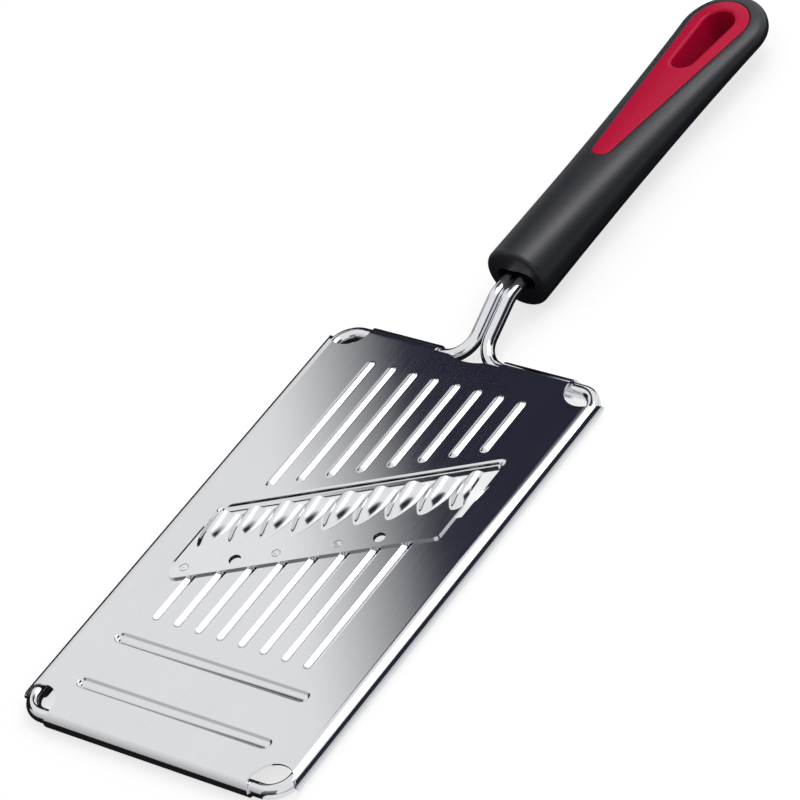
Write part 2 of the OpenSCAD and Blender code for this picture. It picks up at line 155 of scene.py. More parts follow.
def make_piece(name, bm, node, closed=True, crease=35):
    bmesh.ops.remove_doubles(bm, verts=bm.verts, dist=WELD * MM)
    bmesh.ops.dissolve_degenerate(bm, edges=bm.edges, dist=WELD * MM / 4)
    if closed:
        bmesh.ops.recalc_face_normals(bm, faces=bm.faces)
    mesh = bpy.data.meshes.new(name)
    bm.to_mesh(mesh)
    bm.free()
    mesh.shade_smooth()
    mesh.set_sharp_from_angle(angle=math.radians(crease))
    piece = bpy.data.objects.new(name, mesh)
    bpy.context.scene.collection.objects.link(piece)
    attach(piece, "root")
    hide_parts(node)
    print(name, len(mesh.polygons), "faces")
    return piece


# %% [markdown]
# ## The plate
#
# The plate is one sheet, 0.7 mm thick. Its four edges are rolled round the wire, so on the flat
# pattern each edge has a flap. Rolling is a change of coordinates: a point at some distance past
# the fold goes round by that arc length. A sheet starts to bend gently before it hugs the wire, so
# the roll has two arcs, a wide one and then a tight one.

# %% Sizes of the plate and its hems
sheet = 0.7
plate_top = 6.6
soft_r = 6
soft_turn = math.radians(30)
curl_r = 3.15
curl_turn = math.radians(210)
flap_l = soft_r * soft_turn + curl_r * curl_turn
flaps = [flap_l * k / 36 for k in range(37)]


def rolled(past):
    soft = min(past / soft_r, soft_turn)
    turn = soft + max(past - soft_r * soft_turn, 0) / curl_r
    out = soft_r * math.sin(soft) + curl_r * (math.sin(turn) - math.sin(soft))
    drop = soft_r * (1 - math.cos(soft)) + curl_r * (math.cos(soft) - math.cos(turn))
    return out, drop


hem_reach = soft_r * math.sin(soft_turn) + curl_r * (1 - math.sin(soft_turn))
fold_x = plate_w / 2 - hem_reach
fold_low = hem_reach
fold_high = plate_l - hem_reach
print(f"a hem takes {flap_l:.1f} mm of sheet and reaches {hem_reach:.2f} mm past its fold")


def inset(past):
    return hem_reach - rolled(past)[0]


# %% [markdown]
# Round notches free the wire's corners. They are cut straight down through the finished plate, so
# on the pattern the end of a flap depends on how deep that line of the hem lies inside the plate's
# outer edge. Between the two tabs of the top hem the sheet has a shallow scallop for the shanks.

# %% Notches and scallop on the pattern
notch_r = 8
notch_side, notch_end = 7.4, 4.2
tab_start = 13.5
scallop_w = 28
scallop_depth = 6.1
scallop_r = (scallop_w**2 / 4 + scallop_depth**2) / (2 * scallop_depth)
scallop_half = math.sqrt(scallop_r**2 - (scallop_r - scallop_depth + hem_reach) ** 2)


def along_end(depth):
    return notch_side + math.sqrt(notch_r**2 - (notch_end - depth) ** 2)


def along_side(depth):
    return notch_end + math.sqrt(notch_r**2 - (notch_side - depth) ** 2)


def lower_right_corner():
    flap_end = [(plate_w / 2 - along_end(inset(p)), fold_low - p) for p in flaps]
    side_end = [(fold_x + p, along_side(inset(p))) for p in flaps]
    centre = Vector((plate_w / 2 - notch_side, notch_end))
    first = math.pi + math.asin((notch_end - hem_reach) / notch_r)
    last = math.acos((notch_side - hem_reach) / notch_r)
    arc = []
    for k in range(1, 20):
        angle = first + (last - first) * k / 20
        arc.append((centre.x + notch_r * math.cos(angle), centre.y + notch_r * math.sin(angle)))
    return flap_end[::-1] + arc + side_end


def plate_outline():
    lower_right = lower_right_corner()
    upper_right = [(x, plate_l - v) for x, v in reversed(lower_right)]
    tab_end = [(tab_start, fold_high + p) for p in flaps]
    arc = []
    for k in range(13):
        x = scallop_half * (1 - k / 6)
        arc.append((x, plate_l - scallop_depth + scallop_r - math.sqrt(scallop_r**2 - x * x)))
    mirrored = [[(-x, v) for x, v in reversed(run)] for run in (tab_end[::-1], upper_right, lower_right)]
    return lower_right + upper_right + tab_end[::-1] + arc + mirrored[0] + mirrored[1] + mirrored[2]


print("outline of the blank:", len(plate_outline()), "points")

# %% [markdown]
# Eight ribs stand up above the slot and eight grooves sink below it, in line with them, and two
# beads cross the lower end. Pressed sheet has no sharp corners, so a rib has a round crest, two
# straight flanks and a small shoulder. Every form is a height over the distance from its middle line.

# %% Profiles of the pressed forms
rib_h = 1
crest_r, shoulder_r = 0.8, 0.5
flank = math.radians(38)
crest_end = crest_r * math.sin(flank)
crest_drop = crest_r * (1 - math.cos(flank))
shoulder_h = shoulder_r * (1 - math.cos(flank))
flank_end = crest_end + (rib_h - crest_drop - shoulder_h) / math.tan(flank)
rib_foot = flank_end + shoulder_r * math.sin(flank)
bead_floor = 1.2
bead_foot = 2.3
bead_depth = 1


def rib_profile(d):
    if d >= rib_foot:
        return 0
    if d > flank_end:
        return shoulder_r - math.sqrt(shoulder_r**2 - (rib_foot - d) ** 2)
    if d > crest_end:
        return rib_h - crest_drop - (d - crest_end) * math.tan(flank)
    return rib_h - crest_r + math.sqrt(crest_r**2 - d * d)


def bead_profile(d):
    share = min(max((d - bead_floor) / (bead_foot - bead_floor), 0), 1)
    return bead_depth * (1 + math.cos(math.pi * share)) / 2


print(f"a rib is {2 * rib_foot:.2f} mm wide at the sheet")

# %% [markdown]
# Ribs and grooves share their places across the plate, and the slanted slot parts them. The middle
# line of each form is kept as its two end points.

# %% Where the forms lie
slant = math.radians(30)
slope = math.tan(slant)
rib_pitch = 9
rib_count = 8
bead_half = 37.8
bead_places = (17.4, 37.6)
rib_from_slot, rib_from_end = 6.6, 17.4
groove_start = 49.1
slot_place = 122.8
blade_low = 85.5


def slanted(place, x):
    return place + x * slope


rib_places = [(i - (rib_count - 1) / 2) * rib_pitch for i in range(rib_count)]
ribs = [((x, slanted(slot_place, x) + rib_from_slot), (x, plate_l - rib_from_end)) for x in rib_places]
grooves = [((x, groove_start), (x, slanted(blade_low, x))) for x in rib_places]
beads = [((-bead_half, v), (bead_half, v)) for v in bead_places]


def from_line(x, v, line):
    (x0, v0), (x1, v1) = line
    return math.hypot(max(x0 - x, 0, x - x1), max(v0 - v, 0, v - v1))


print(len(ribs), "ribs,", len(grooves), "grooves and", len(beads), "beads")

# %% [markdown]
# The slot's upper edge is pressed down by a step, which opens the slot towards the underside. The
# step is a shallow recess with rounded ends: two bends down, one after the other, and a flat strip.

# %% The stepped edge of the slot
slot_half = 42
strip_edge = 3.14
upper_bend = 1.2
lower_bend = 0.5
step_turn = math.radians(75)
step_run = (upper_bend + lower_bend) * math.sin(step_turn)
step_drop = (upper_bend + lower_bend) * (1 - math.cos(step_turn))
corner_blend = 2.5
recess_l = 6


def below_bend(x, v):
    return (slanted(slot_place, x) - v) * math.cos(slant)


def into_recess(x, v):
    past = below_bend(x, v)
    from_end = slot_half - abs(x)
    blend = max(corner_blend - abs(past - from_end), 0) / corner_blend
    return min(past, from_end) - corner_blend * blend**2 / 4


def step_depth(d):
    if d <= 0:
        return 0
    if d < upper_bend * math.sin(step_turn):
        return upper_bend - math.sqrt(upper_bend**2 - d * d)
    if d < step_run:
        return step_drop - lower_bend + math.sqrt(lower_bend**2 - (step_run - d) ** 2)
    return step_drop


def relief(x, v):
    nearest = min(max(round(x / rib_pitch + (rib_count - 1) / 2), 0), rib_count - 1)
    height = rib_profile(from_line(x, v, ribs[nearest])) - rib_profile(from_line(x, v, grooves[nearest]))
    height -= sum(bead_profile(from_line(x, v, bead)) for bead in beads)
    if 0 < below_bend(x, v) < recess_l and abs(x) < slot_half:
        height -= step_depth(into_recess(x, v))
    return height


print(f"the step goes down by {step_drop:.2f} mm")

# %% [markdown]
# Bending only looks right where the blank has lines to bend along. So lines follow every fold, rib,
# bead and step, closer together where the curve is tighter. The outermost line of each form lies
# just past it, on the flat, which keeps the smooth shading of the flat sheet even.

# %% Lines round a form
def spread(low, high, spacing):
    count = max(round((high - low) / spacing), 1)
    return [low + (high - low) * k / count for k in range(count + 1)]


def round_line(line, offset, spacing):
    start, end = Vector(line[0]), Vector(line[1])
    along = (end - start).normalized()
    across = Vector((along.y, -along.x))
    stations = spread(0, (end - start).length, spacing)
    if offset == 0:
        return [tuple(start + along * s) for s in stations]
    reaches = [math.pi * k / 14 for k in range(1, 14)]
    caps = [(along * math.sin(a) + across * math.cos(a)) * offset for a in reaches]
    run = [start + along * s + across * offset for s in stations] + [end + reach for reach in caps]
    run += [start + along * s - across * offset for s in reversed(stations)]
    run += [start - reach for reach in caps]
    return [tuple(p) for p in run]


# %% [markdown]
# A hem's lines run along its fold and stop short of the cut ends. The step's lines follow the slant.

# %% Lines along the hems and the step
beyond = 0.3
cut_gap = 0.4


def hem_lines():
    lines = []
    for past in [-beyond] + flaps[:-1]:
        depth = inset(max(past, 0))
        side_run = along_side(depth) + cut_gap
        end_run = along_end(depth) + cut_gap
        tab = spread(tab_start + cut_gap, plate_w / 2 - end_run, 8)
        for side in (-1, 1):
            lines.append([(side * (fold_x + past), v) for v in spread(side_run, plate_l - side_run, 8)])
            lines.append([(side * x, fold_high + past) for x in tab])
        low_run = spread(end_run - plate_w / 2, plate_w / 2 - end_run, 8)
        lines.append([(x, fold_low - past) for x in low_run])
    return lines


def step_lines():
    rows = [-beyond] + spread(0, step_run, 0.1) + [step_run + 0.25, 2.4]
    half = spread(0, slot_half - 4.4, 3)[1:] + spread(slot_half - 4, slot_half, 0.3) + [slot_half + beyond]
    columns = [-x for x in reversed(half)] + [0] + half
    lift = 1 / math.cos(slant)
    lines = [[(x, slanted(slot_place, x) - row * lift) for x in columns] for row in rows]
    low_rows = spread(2.7, strip_edge + 1, 0.3)
    for x in (-slot_half - beyond, slot_half + beyond):
        lines.append([(x, slanted(slot_place, x) - row * lift) for row in low_rows])
    return lines


print(len(hem_lines()), "lines along the hems and", len(step_lines()), "along the step")

# %% [markdown]
# Now the pattern has its outline, its slot and two locating holes. The bending function rolls the
# flaps, lifts the relief and leaves the rest flat.

# %% Openings and the bending function
slot_low = 95.1
locating_x = 21
locating_r = 2.1
rivet_line = 90.3


def bend_plate(x, v):
    if abs(x) > fold_x:
        out, drop = rolled(abs(x) - fold_x)
        return at(math.copysign(fold_x + out, x), v, plate_top - drop)
    if v < fold_low:
        out, drop = rolled(fold_low - v)
        return at(x, fold_low - out, plate_top - drop)
    if v > fold_high:
        out, drop = rolled(v - fold_high)
        return at(x, fold_high + out, plate_top - drop)
    return at(x, v, plate_top + relief(x, v))


def slot_outline():
    strip = strip_edge / math.cos(slant)
    steps = spread(-slot_half, 3.9 - slot_half, 0.3) + spread(4.5 - slot_half, slot_half - 4.5, 3)
    steps += spread(slot_half - 3.9, slot_half, 0.3)
    free_edge = [(x, slanted(slot_place, x) - strip) for x in reversed(steps)]
    corners = (slot_low, slot_place - strip - 0.5)
    ends = [[(x, slanted(v, x)) for v in corners] for x in (-slot_half, slot_half)]
    return ends[0][::-1] + ends[1] + free_edge


def ring(x, v, r, count=40):
    angles = [2 * math.pi * k / count for k in range(count)]
    return [(x + r * math.cos(a), v + r * math.sin(a)) for a in angles]


def locating_holes(r):
    return [ring(x, slanted(rivet_line, x), r) for x in (-locating_x, locating_x)]


print("outline of the slot:", len(slot_outline()), "points")

# %% [markdown]
# After bending, a Solidify modifier gives the sheet its thickness, and a Bevel breaks the cut edges,
# because a sheared edge is never quite sharp. The result is kept as a plain mesh.

# %% Bend the plate
blunt = 0.12
blunt_from = math.radians(50)
keep_sharp = math.radians(30)


def round_off(piece, width, thickness=0):
    if thickness:
        solid = piece.modifiers.new("thickness", "SOLIDIFY")
        solid.thickness = thickness * MM
        solid.offset = -1
        solid.use_even_offset = True
    edge = piece.modifiers.new("blunt edges", "BEVEL")
    edge.width = width * MM
    edge.segments = 1
    edge.limit_method = "ANGLE"
    edge.angle_limit = blunt_from
    edge.use_clamp_overlap = True
    made = piece.evaluated_get(bpy.context.evaluated_depsgraph_get())
    mesh = bpy.data.meshes.new_from_object(made)
    piece.modifiers.clear()
    piece.data = mesh
    mesh.shade_smooth()
    mesh.set_sharp_from_angle(angle=keep_sharp)


crest_offsets = [crest_r * math.sin(flank * k / 4) for k in range(5)]
shoulder_offsets = [rib_foot - shoulder_r * math.sin(flank * k / 4) for k in range(4, -1, -1)]
rib_offsets = crest_offsets + shoulder_offsets + [rib_foot + beyond]
bead_offsets = [0] + spread(bead_floor, bead_foot, 0.2) + [bead_foot + beyond]
plate_lines = hem_lines() + step_lines()
for line in ribs + grooves:
    plate_lines += [round_line(line, offset, 3) for offset in rib_offsets]
for line in beads:
    plate_lines += [round_line(line, offset, 5) for offset in bead_offsets]
bm = bmesh.new()
cut_blank(bm, plate_outline(), [slot_outline()] + locating_holes(locating_r), plate_lines, bend_plate)
plate = make_piece("hemmed_plate", bm, "cutting_plate", closed=False)
round_off(plate, blunt, sheet)

# %% [markdown]
# ## The wire frame
#
# The frame is one length of 5 mm wire. It leaves the handle as a shank, slopes down to the plate,
# runs round all four edges inside the hems and comes back as the second shank. Its path is a chain
# of corners, each with a bend radius.

# %% Round the corners of a path
def rounded_path(corners, steps=14):
    points = [corners[0][0]]
    for (before, _), (corner, r), (after, _) in zip(corners, corners[1:], corners[2:]):
        back = (before - corner).normalized()
        ahead = (after - corner).normalized()
        half = back.angle(ahead) / 2
        start = corner + back * (r / math.tan(half))
        centre = corner + (back + ahead).normalized() * (r / math.sin(half))
        axis = back.cross(ahead)
        sweep = 2 * half - math.pi
        for k in range(steps + 1):
            points.append(centre + Quaternion(axis, sweep * k / steps) @ (start - centre))
    return points + [corners[-1][0]]


# %% [markdown]
# A ring of points is carried along the path. It turns only as much as the path does, so the surface
# of the wire doesn't twist. Its radius is 0.1 mm under the real one, which keeps it clear of the hems.

# %% Loft the wire
wire_r = 2.4
handle_start = 214.1
handle_z = 12.4
shank_x = 2.6
shank_in, shank_out = 45, 8
shank_bend, corner_bend = 10, 8
to_widest = math.radians(60)
wire_z = plate_top - rolled(soft_r * soft_turn + curl_r * to_widest)[1]


def tube(bm, path, r, sides=32):
    rings = []
    heading = (path[1] - path[0]).normalized()
    normal = heading.orthogonal().normalized()
    for k, point in enumerate(path):
        ahead = (path[min(k + 1, len(path) - 1)] - path[max(k - 1, 0)]).normalized()
        normal = heading.rotation_difference(ahead) @ normal
        heading = ahead
        turns_round = [Quaternion(heading, 2 * math.pi * i / sides) for i in range(sides)]
        rings.append([(point + turn @ normal * r) * MM for turn in turns_round])
    rows = loft(bm, rings)
    bm.faces.new(reversed(rows[0]))
    bm.faces.new(rows[-1])


def wire_corners(side):
    y0 = plate_low.y
    return [
        (Vector((side * shank_x, y0 + handle_start + shank_in, handle_z)), 0),
        (Vector((side * shank_x, y0 + handle_start - shank_out, handle_z)), shank_bend),
        (Vector((side * shank_x, y0 + plate_l - curl_r, wire_z)), shank_bend),
        (Vector((side * (plate_w / 2 - curl_r), y0 + plate_l - curl_r, wire_z)), corner_bend),
        (Vector((side * (plate_w / 2 - curl_r), y0 + curl_r, wire_z)), corner_bend),
    ]


bm = bmesh.new()
tube(bm, rounded_path(wire_corners(-1) + wire_corners(1)[::-1]), wire_r)
wire = make_piece("bent_wire", bm, "wire_frame")

# %% [markdown]
# ## The blade
#
# The blade is a thicker strip of harder steel. Its base lies flat on the plate, and past the base
# it is pressed into flutes that grow towards the cutting edge. A cosine gives the wave, and a curve
# that rises fast and then steadily gives the rounded fronts. The sheet thins out over the bevel.

# %% The form of the flutes
blade_t = 0.8
blade_front = 98.5
flute_l = 14.6
valley_rise = 0.6
flute_h = 2.9
front_h = 2.2
front_l = 3.4
front_round = 5.5
crest_power = 0.8
flute_pitch = 9.23
flute_shift = 1.2
bevel_l = 2
edge_t = 0.15


def flute_height(x, d):
    wave = ((1 + math.cos(2 * math.pi * (x - flute_shift) / flute_pitch)) / 2) ** crest_power
    grown = max(d - front_round * (1 - wave), 0)
    rise = front_h * (1 - math.exp(-((grown / front_l) ** 2))) + (flute_h - front_h) * grown / flute_l
    return valley_rise * (d / flute_l) ** 2 + rise * wave


def past_front(x, v):
    return v - slanted(blade_front, x)


def blade_top(x, v):
    return at(x, v, plate_top + blade_t + flute_height(x, max(past_front(x, v), 0)))


def blade_under(x, v):
    d = past_front(x, v)
    thick = edge_t + (blade_t - edge_t) * min((flute_l - d) / bevel_l, 1)
    return blade_top(x, v) - Vector((0, 0, thick * MM))


print(f"the crests stand {flute_height(flute_shift, flute_l):.2f} mm over the base")

# %% [markdown]
# The blank's lines lie closest where the flutes begin. Its two lower corners are rounded in the same
# way as the corners of the wire, and it has holes for locating pins and for the rivets.

# %% Press the blade
blade_half = 40
corner_r = 2.5
head_r = 1.5
head_gap = 0.1
rivet_ribs = (-4, -1, 1)
blade_blunt = 0.06
flute_rows = spread(0, 6, 0.4) + spread(6.6, flute_l - bevel_l, 0.65) + spread(flute_l - 1.5, flute_l, 0.5)
flute_columns = spread(-blade_half, blade_half, 0.3)
base_corners = (
    (-blade_half, blade_front - 1),
    (-blade_half, blade_low),
    (blade_half, blade_low),
    (blade_half, blade_front - 1),
)
base = [Vector((x, slanted(v, x), 0)) for x, v in base_corners]
base_edge = [(p.x, p.y) for p in rounded_path([(corner, corner_r) for corner in base], 6)]
right_side = [(blade_half, slanted(blade_front + d, blade_half)) for d in flute_rows[:-1]]
cutting_edge = [(x, slanted(blade_front + flute_l, x)) for x in reversed(flute_columns)]
left_side = [(-blade_half, slanted(blade_front + d, -blade_half)) for d in reversed(flute_rows[:-1])]
blade_outline = base_edge + right_side + cutting_edge + left_side
blade_rows = [-beyond] + flute_rows[:-1]
blade_lines = [[(x, slanted(blade_front + d, x)) for x in flute_columns[1:-1]] for d in blade_rows]
rivet_places = [(k * rib_pitch, slanted(rivet_line, k * rib_pitch)) for k in rivet_ribs]
rivet_holes = [ring(x, v, head_r + head_gap) for x, v in rivet_places]
bm = bmesh.new()
cut_blank(bm, blade_outline, locating_holes(locating_r) + rivet_holes, blade_lines, blade_top, blade_under)
blade = make_piece("fluted_blade", bm, "waffle_blade")
round_off(blade, blade_blunt)

# %% [markdown]
# Three rivets hold the blade. Their heads are ground flush, so what shows is a fine ring and the
# mark of the punch in the middle. A profile of radius and height, turned about its axis, makes one.

# %% Turn the rivets
rivet_top = plate_top + blade_t
rivet_profile = [
    (0.02, -0.06), (0.2, -0.05), (0.3, 0.005), (0.36, 0.01), (1.3, 0.01), (1.35, -0.02),
    (1.35, -0.6), (head_r, -0.62), (head_r, -0.7), (0.9, -0.7), (0.9, -1.55), (1.35, -1.55),
    (head_r, -1.7), (1.35, -1.98), (0.7, -2.05), (0.02, -2.05),
]
bm = bmesh.new()
for x, v in rivet_places:
    rings = [[at(px, pv, rivet_top + z) for px, pv in ring(x, v, r)] for r, z in rivet_profile]
    rows = loft(bm, rings)
    bm.faces.new(rows[0])
    bm.faces.new(reversed(rows[-1]))
rivets = make_piece("flush_rivets", bm, "blade_rivets", crease=26)

# %% [markdown]
# ## The handle
#
# The grip changes from a round section at the shanks to a flat, wide one at the hanging eye. A
# superellipse covers both: its power sets how square the section is. Everything that meets the
# grip's skin, such as the inlay's seat, is placed on it by the same formula.

# %% The section of the handle
handle_l = 145
handle_r = 11.9
eye_half_w = 16.3
eye_top = 5.3
eye_bottom = 6.4
end_round = 1.5
widest = handle_l - eye_half_w


def toward_eye(d):
    return min(max(d, 0) / widest, 1)


def section_power(d):
    return 2 + 0.5 * toward_eye(d)


def end_share(d, power):
    past = max(d - widest, 0) / eye_half_w
    return max(1 - past**power, 0) ** (1 / power)


def edge_inset(d):
    before = min(max(end_round - d, 0) / end_round, 1)
    return end_round * (1 - math.sqrt(1 - before**2))


def half_width(d):
    full = handle_r + (eye_half_w - handle_r) * toward_eye(d) ** 2.3
    return (full - edge_inset(d)) * end_share(d, 2)


def half_height(d, at_eye):
    full = handle_r + (at_eye - handle_r) * toward_eye(d)
    return (full - edge_inset(d)) * end_share(d, 3)


print(f"the handle is {2 * half_width(widest):.1f} mm wide at the eye")

# %% [markdown]
# An angle round the section and a distance along the handle give a point on the skin. For a place
# seen from above, the same curve gives the height of the skin.

# %% Points on the skin
def signed_power(value, power):
    return math.copysign(abs(value) ** power, value)


def skin_point(angle, d, draw_in=0):
    power = 2 / section_power(d)
    height = half_height(d, eye_top if angle % 360 < 180 else eye_bottom)
    x = (half_width(d) - draw_in) * signed_power(math.cos(math.radians(angle)), power)
    z = (height - draw_in) * signed_power(math.sin(math.radians(angle)), power)
    return at(x, handle_start + d, handle_z + z)


def skin_height(x, v, at_eye):
    d = v - handle_start
    power = section_power(d)
    across = min(abs(x) / max(half_width(d), 0.001), 1)
    return half_height(d, at_eye) * (1 - across**power) ** (1 / power)


def top_z(x, v):
    return handle_z + skin_height(x, v, eye_top)


def under_z(x, v):
    return handle_z - skin_height(x, v, eye_bottom)


print(f"the skin's top falls to z = {top_z(0, handle_start + widest):.1f} mm at the eye")

# %% [markdown]
# The inlay and the eye share one kind of outline: two rounds of different size, joined by tangent
# lines. Growing or shrinking such an outline only changes the two radii, which makes it easy to
# loft a lip, a wall or a groove that follows it.

# %% Outlines round the eye
eye_v = 342.1
eye_rounds = (6, 4.3, 21.5)
inlay_rounds = (11.2, 3.6, 71)
clearance = 0.15
lining_t = 1.6
inlay_t = 2.2
outline_count = 96


def two_rounds(rounds, grow):
    big, small, distance = rounds
    lean = math.asin((big - small) / distance)
    points = []
    big_count = outline_count // 2
    for k in range(big_count):
        angle = -lean + (math.pi + 2 * lean) * k / (big_count - 1)
        points.append(((big + grow) * math.cos(angle), eye_v + (big + grow) * math.sin(angle)))
    small_count = outline_count - big_count
    for k in range(small_count):
        angle = math.pi + lean + (math.pi - 2 * lean) * k / (small_count - 1)
        x = (small + grow) * math.cos(angle)
        points.append((x, eye_v - distance + (small + grow) * math.sin(angle)))
    return points


def from_outline(x, v, rounds, grow=0):
    big, small, distance = rounds
    tilt = (big - small) / distance
    reach = math.sqrt(1 - tilt**2)
    px, pv = abs(x), eye_v - v
    along = -px * tilt + pv * reach
    if along < 0:
        return math.hypot(px, pv) - big - grow
    if along > reach * distance:
        return math.hypot(px, pv - distance) - small - grow
    return px * reach + pv * tilt - big - grow


# %% [markdown]
# A moulded edge is never sharp. A lip follows an outline and turns over by a quarter circle, so it
# joins a face to a wall. The seat's floor is parallel to the handle's top, a fixed depth below it.

# %% Lips and the seat's floor
def lip(outline_of, z_of, r, into=-1, steps=5):
    rim = outline_of(0)
    rings = []
    for k in range(steps + 1):
        turn = math.pi / 2 * k / steps
        shifted = outline_of(into * r * math.sin(turn))
        drop = r * (1 - math.cos(turn))
        rings.append([(x, v, z_of(rx, rv), drop) for (x, v), (rx, rv) in zip(shifted, rim)])
    return rings


def lower_by(rings, sign=-1):
    return [[at(x, v, z + sign * drop) for x, v, z, drop in ring_points] for ring_points in rings]


def seat_floor(v, depth):
    rise = (handle_r - eye_top) / widest
    return handle_z + eye_top + (eye_v - v) * rise - depth


# %% [markdown]
# The skin is unrolled into angle and length, and the blank cutter fills it with two openings: the
# inlay's seat above and the eye below. The mould's parting line runs along both sides, a little
# under the widest place. It is a fine groove, and the blank's own seam lies in the left one.

# %% Unroll the skin
parting = 12
parting_depth = 0.12
parting_w = 0.8
face_count = 48
seam = -180 + parting
arc_per_degree = math.radians(handle_r)
columns = sorted(
    {seam + 360 * k / face_count for k in range(face_count)}
    | {-parting + step for step in (-1.2, -0.5, 0, 0.5, 1.2)}
    | {seam + step for step in (0.5, 1.2)}
    | {seam + 360 - step for step in (0.5, 1.2)}
)
rows_along = [0, 0.05, 0.15, 0.3, 0.5, 0.75, 1.1, 1.5, 2.2] + spread(4, widest, 4)
rows_along += [widest + eye_half_w * math.sin(math.pi / 2 * k / 18) for k in range(1, 18)]


def parting_inset(angle):
    nearest = min(abs((angle + parting + 180) % 360 - 180), abs((angle - seam + 180) % 360 - 180))
    return parting_depth * max(1 - nearest / parting_w, 0)


def grip_skin(arc, d):
    angle = arc / arc_per_degree
    share = min(1, 6 * end_share(d, 2))
    return skin_point(angle, d, parting_inset(angle) * share)


def on_skin(outline, side):
    points = []
    for x, v in outline:
        d = v - handle_start
        cosine = signed_power(min(max(x / half_width(d), -1), 1), section_power(d) / 2)
        points.append((side * math.degrees(math.acos(cosine)) * arc_per_degree, d))
    return points


print(len(columns), "columns and", len(rows_along), "rows on the skin")

# %% [markdown]
# Lips round the rims of the two openings, and one loft joins them: down the seat's wall, across its
# floor and down through the eye.

# %% Mould the grip
rim_r = 0.35
rim_line = 0.4
seat_grow = clearance + rim_r
eye_grow = lining_t + clearance + rim_r
seat_rim = two_rounds(inlay_rounds, seat_grow)
eye_rim = two_rounds(eye_rounds, eye_grow)
arcs = [a * arc_per_degree for a in columns]
last_arc = (seam + 360) * arc_per_degree
grip_outline = [(arc, 0) for arc in arcs] + [(last_arc, d) for d in rows_along]
grip_outline += [(arc, handle_l) for arc in reversed(arcs + [last_arc])]
grip_outline += [(arcs[0], d) for d in rows_along[:0:-1]]
grip_lines = [on_skin(two_rounds(inlay_rounds, seat_grow + rim_line), 1)]
grip_lines.append(on_skin(two_rounds(eye_rounds, eye_grow + rim_line), -1))
for d in rows_along[1:]:
    for a in columns[1:]:
        spot = skin_point(a, d) / MM
        rounds, grow = (inlay_rounds, seat_grow) if a % 360 < 180 else (eye_rounds, eye_grow)
        if from_outline(spot.x, spot.y - plate_low.y, rounds, grow + 2 * rim_line) > 0:
            grip_lines.append([(a * arc_per_degree, d)])
bm = bmesh.new()
cut_blank(bm, grip_outline, [on_skin(seat_rim, 1), on_skin(eye_rim, -1)], grip_lines, grip_skin)
seat_lip = lower_by(lip(lambda g: two_rounds(inlay_rounds, seat_grow + g), top_z, rim_r))
eye_lip = lower_by(lip(lambda g: two_rounds(eye_rounds, eye_grow + g), under_z, rim_r), 1)
seat_depth = inlay_t + clearance
seat_edge = [at(x, v, seat_floor(v, seat_depth)) for x, v in two_rounds(inlay_rounds, clearance)]
eye_edge = [at(x, v, seat_floor(v, seat_depth)) for x, v in two_rounds(eye_rounds, lining_t + clearance)]
loft(bm, seat_lip + [seat_edge, eye_edge] + eye_lip[::-1])
print("skin of the grip:", len(bm.faces), "faces")

# %% [markdown]
# The handle's near end is a flat face with a pocket round the two shanks. The face is a blank of
# its own, cut in the upright plane, and the pocket is a loft that goes in and stops at a floor.

# %% Close the near end
pocket_half = 7.5
pocket_r = 3.5
pocket_depth = 6


def obround(grow, count=48):
    r = pocket_r + grow
    points = []
    for k in range(count):
        side = 1 if k < count / 2 else -1
        angle = -math.pi / 2 + 2 * math.pi * (k if side > 0 else k - 1) / (count - 2)
        points.append((side * (pocket_half - pocket_r) + r * math.cos(angle), r * math.sin(angle)))
    return points


def face_point(x, z):
    return at(x, handle_start, handle_z + z)


def pocket_ring(grow, depth):
    return [at(x, handle_start + depth, handle_z + z) for x, z in obround(grow)]


near_ring = [skin_point(a, 0, parting_inset(a)) / MM for a in columns]
face_outline = [(p.x, p.z - handle_z) for p in near_ring]
cut_blank(bm, face_outline, [obround(rim_r)], [], face_point)
pocket_turns = [math.pi / 2 * k / 4 for k in range(5)]
pocket_rings = [pocket_ring(rim_r * (1 - math.sin(t)), rim_r * (1 - math.cos(t))) for t in pocket_turns]
rows = loft(bm, pocket_rings + [pocket_ring(0, pocket_depth)])
bm.faces.new(rows[-1])
grip = make_piece("black_grip", bm, "handle_body")

# %% [markdown]
# ## The red inlay
#
# The inlay is moulded from a softer plastic. It lies flush in its seat and goes down through the
# handle as the lining of the eye, with a full, rounded lip where a hook would rub.

# %% Mould the inlay
lip_r = 1.1
inlay_rim = 0.3
under_rim = 0.5
draft = 1.2
grid_gap = 0.9
inlay_lines = [two_rounds(inlay_rounds, -inlay_rim - rim_line), two_rounds(eye_rounds, lip_r + rim_line)]
for v in spread(eye_v - 76, eye_v + 12, 2):
    for x in spread(-12, 12, 1.5):
        outside = from_outline(x, v, inlay_rounds, -inlay_rim - grid_gap)
        if outside < 0 < from_outline(x, v, eye_rounds, lip_r + grid_gap):
            inlay_lines.append([(x, v)])


def inlay_face(x, v):
    return at(x, v, top_z(x, v))


bm = bmesh.new()
inlay_edge = two_rounds(inlay_rounds, -inlay_rim)
cut_blank(bm, inlay_edge, [two_rounds(eye_rounds, lip_r)], inlay_lines, inlay_face)
outer_lip = lower_by(lip(lambda g: two_rounds(inlay_rounds, g - inlay_rim), top_z, inlay_rim, into=1))
inner_lip = lower_by(lip(lambda g: two_rounds(eye_rounds, lip_r + g), top_z, lip_r, steps=8))
low_lip = lower_by(lip(lambda g: two_rounds(eye_rounds, under_rim - draft + g), under_z, under_rim), 1)
step_out = [at(x, v, seat_floor(v, inlay_t)) for x, v in two_rounds(inlay_rounds, 0)]
step_in = [at(x, v, seat_floor(v, inlay_t)) for x, v in two_rounds(eye_rounds, lining_t)]
low_out = [at(x, v, under_z(x, v)) for x, v in two_rounds(eye_rounds, lining_t)]
loft(bm, outer_lip + [step_out, step_in, low_out] + low_lip + inner_lip[::-1])
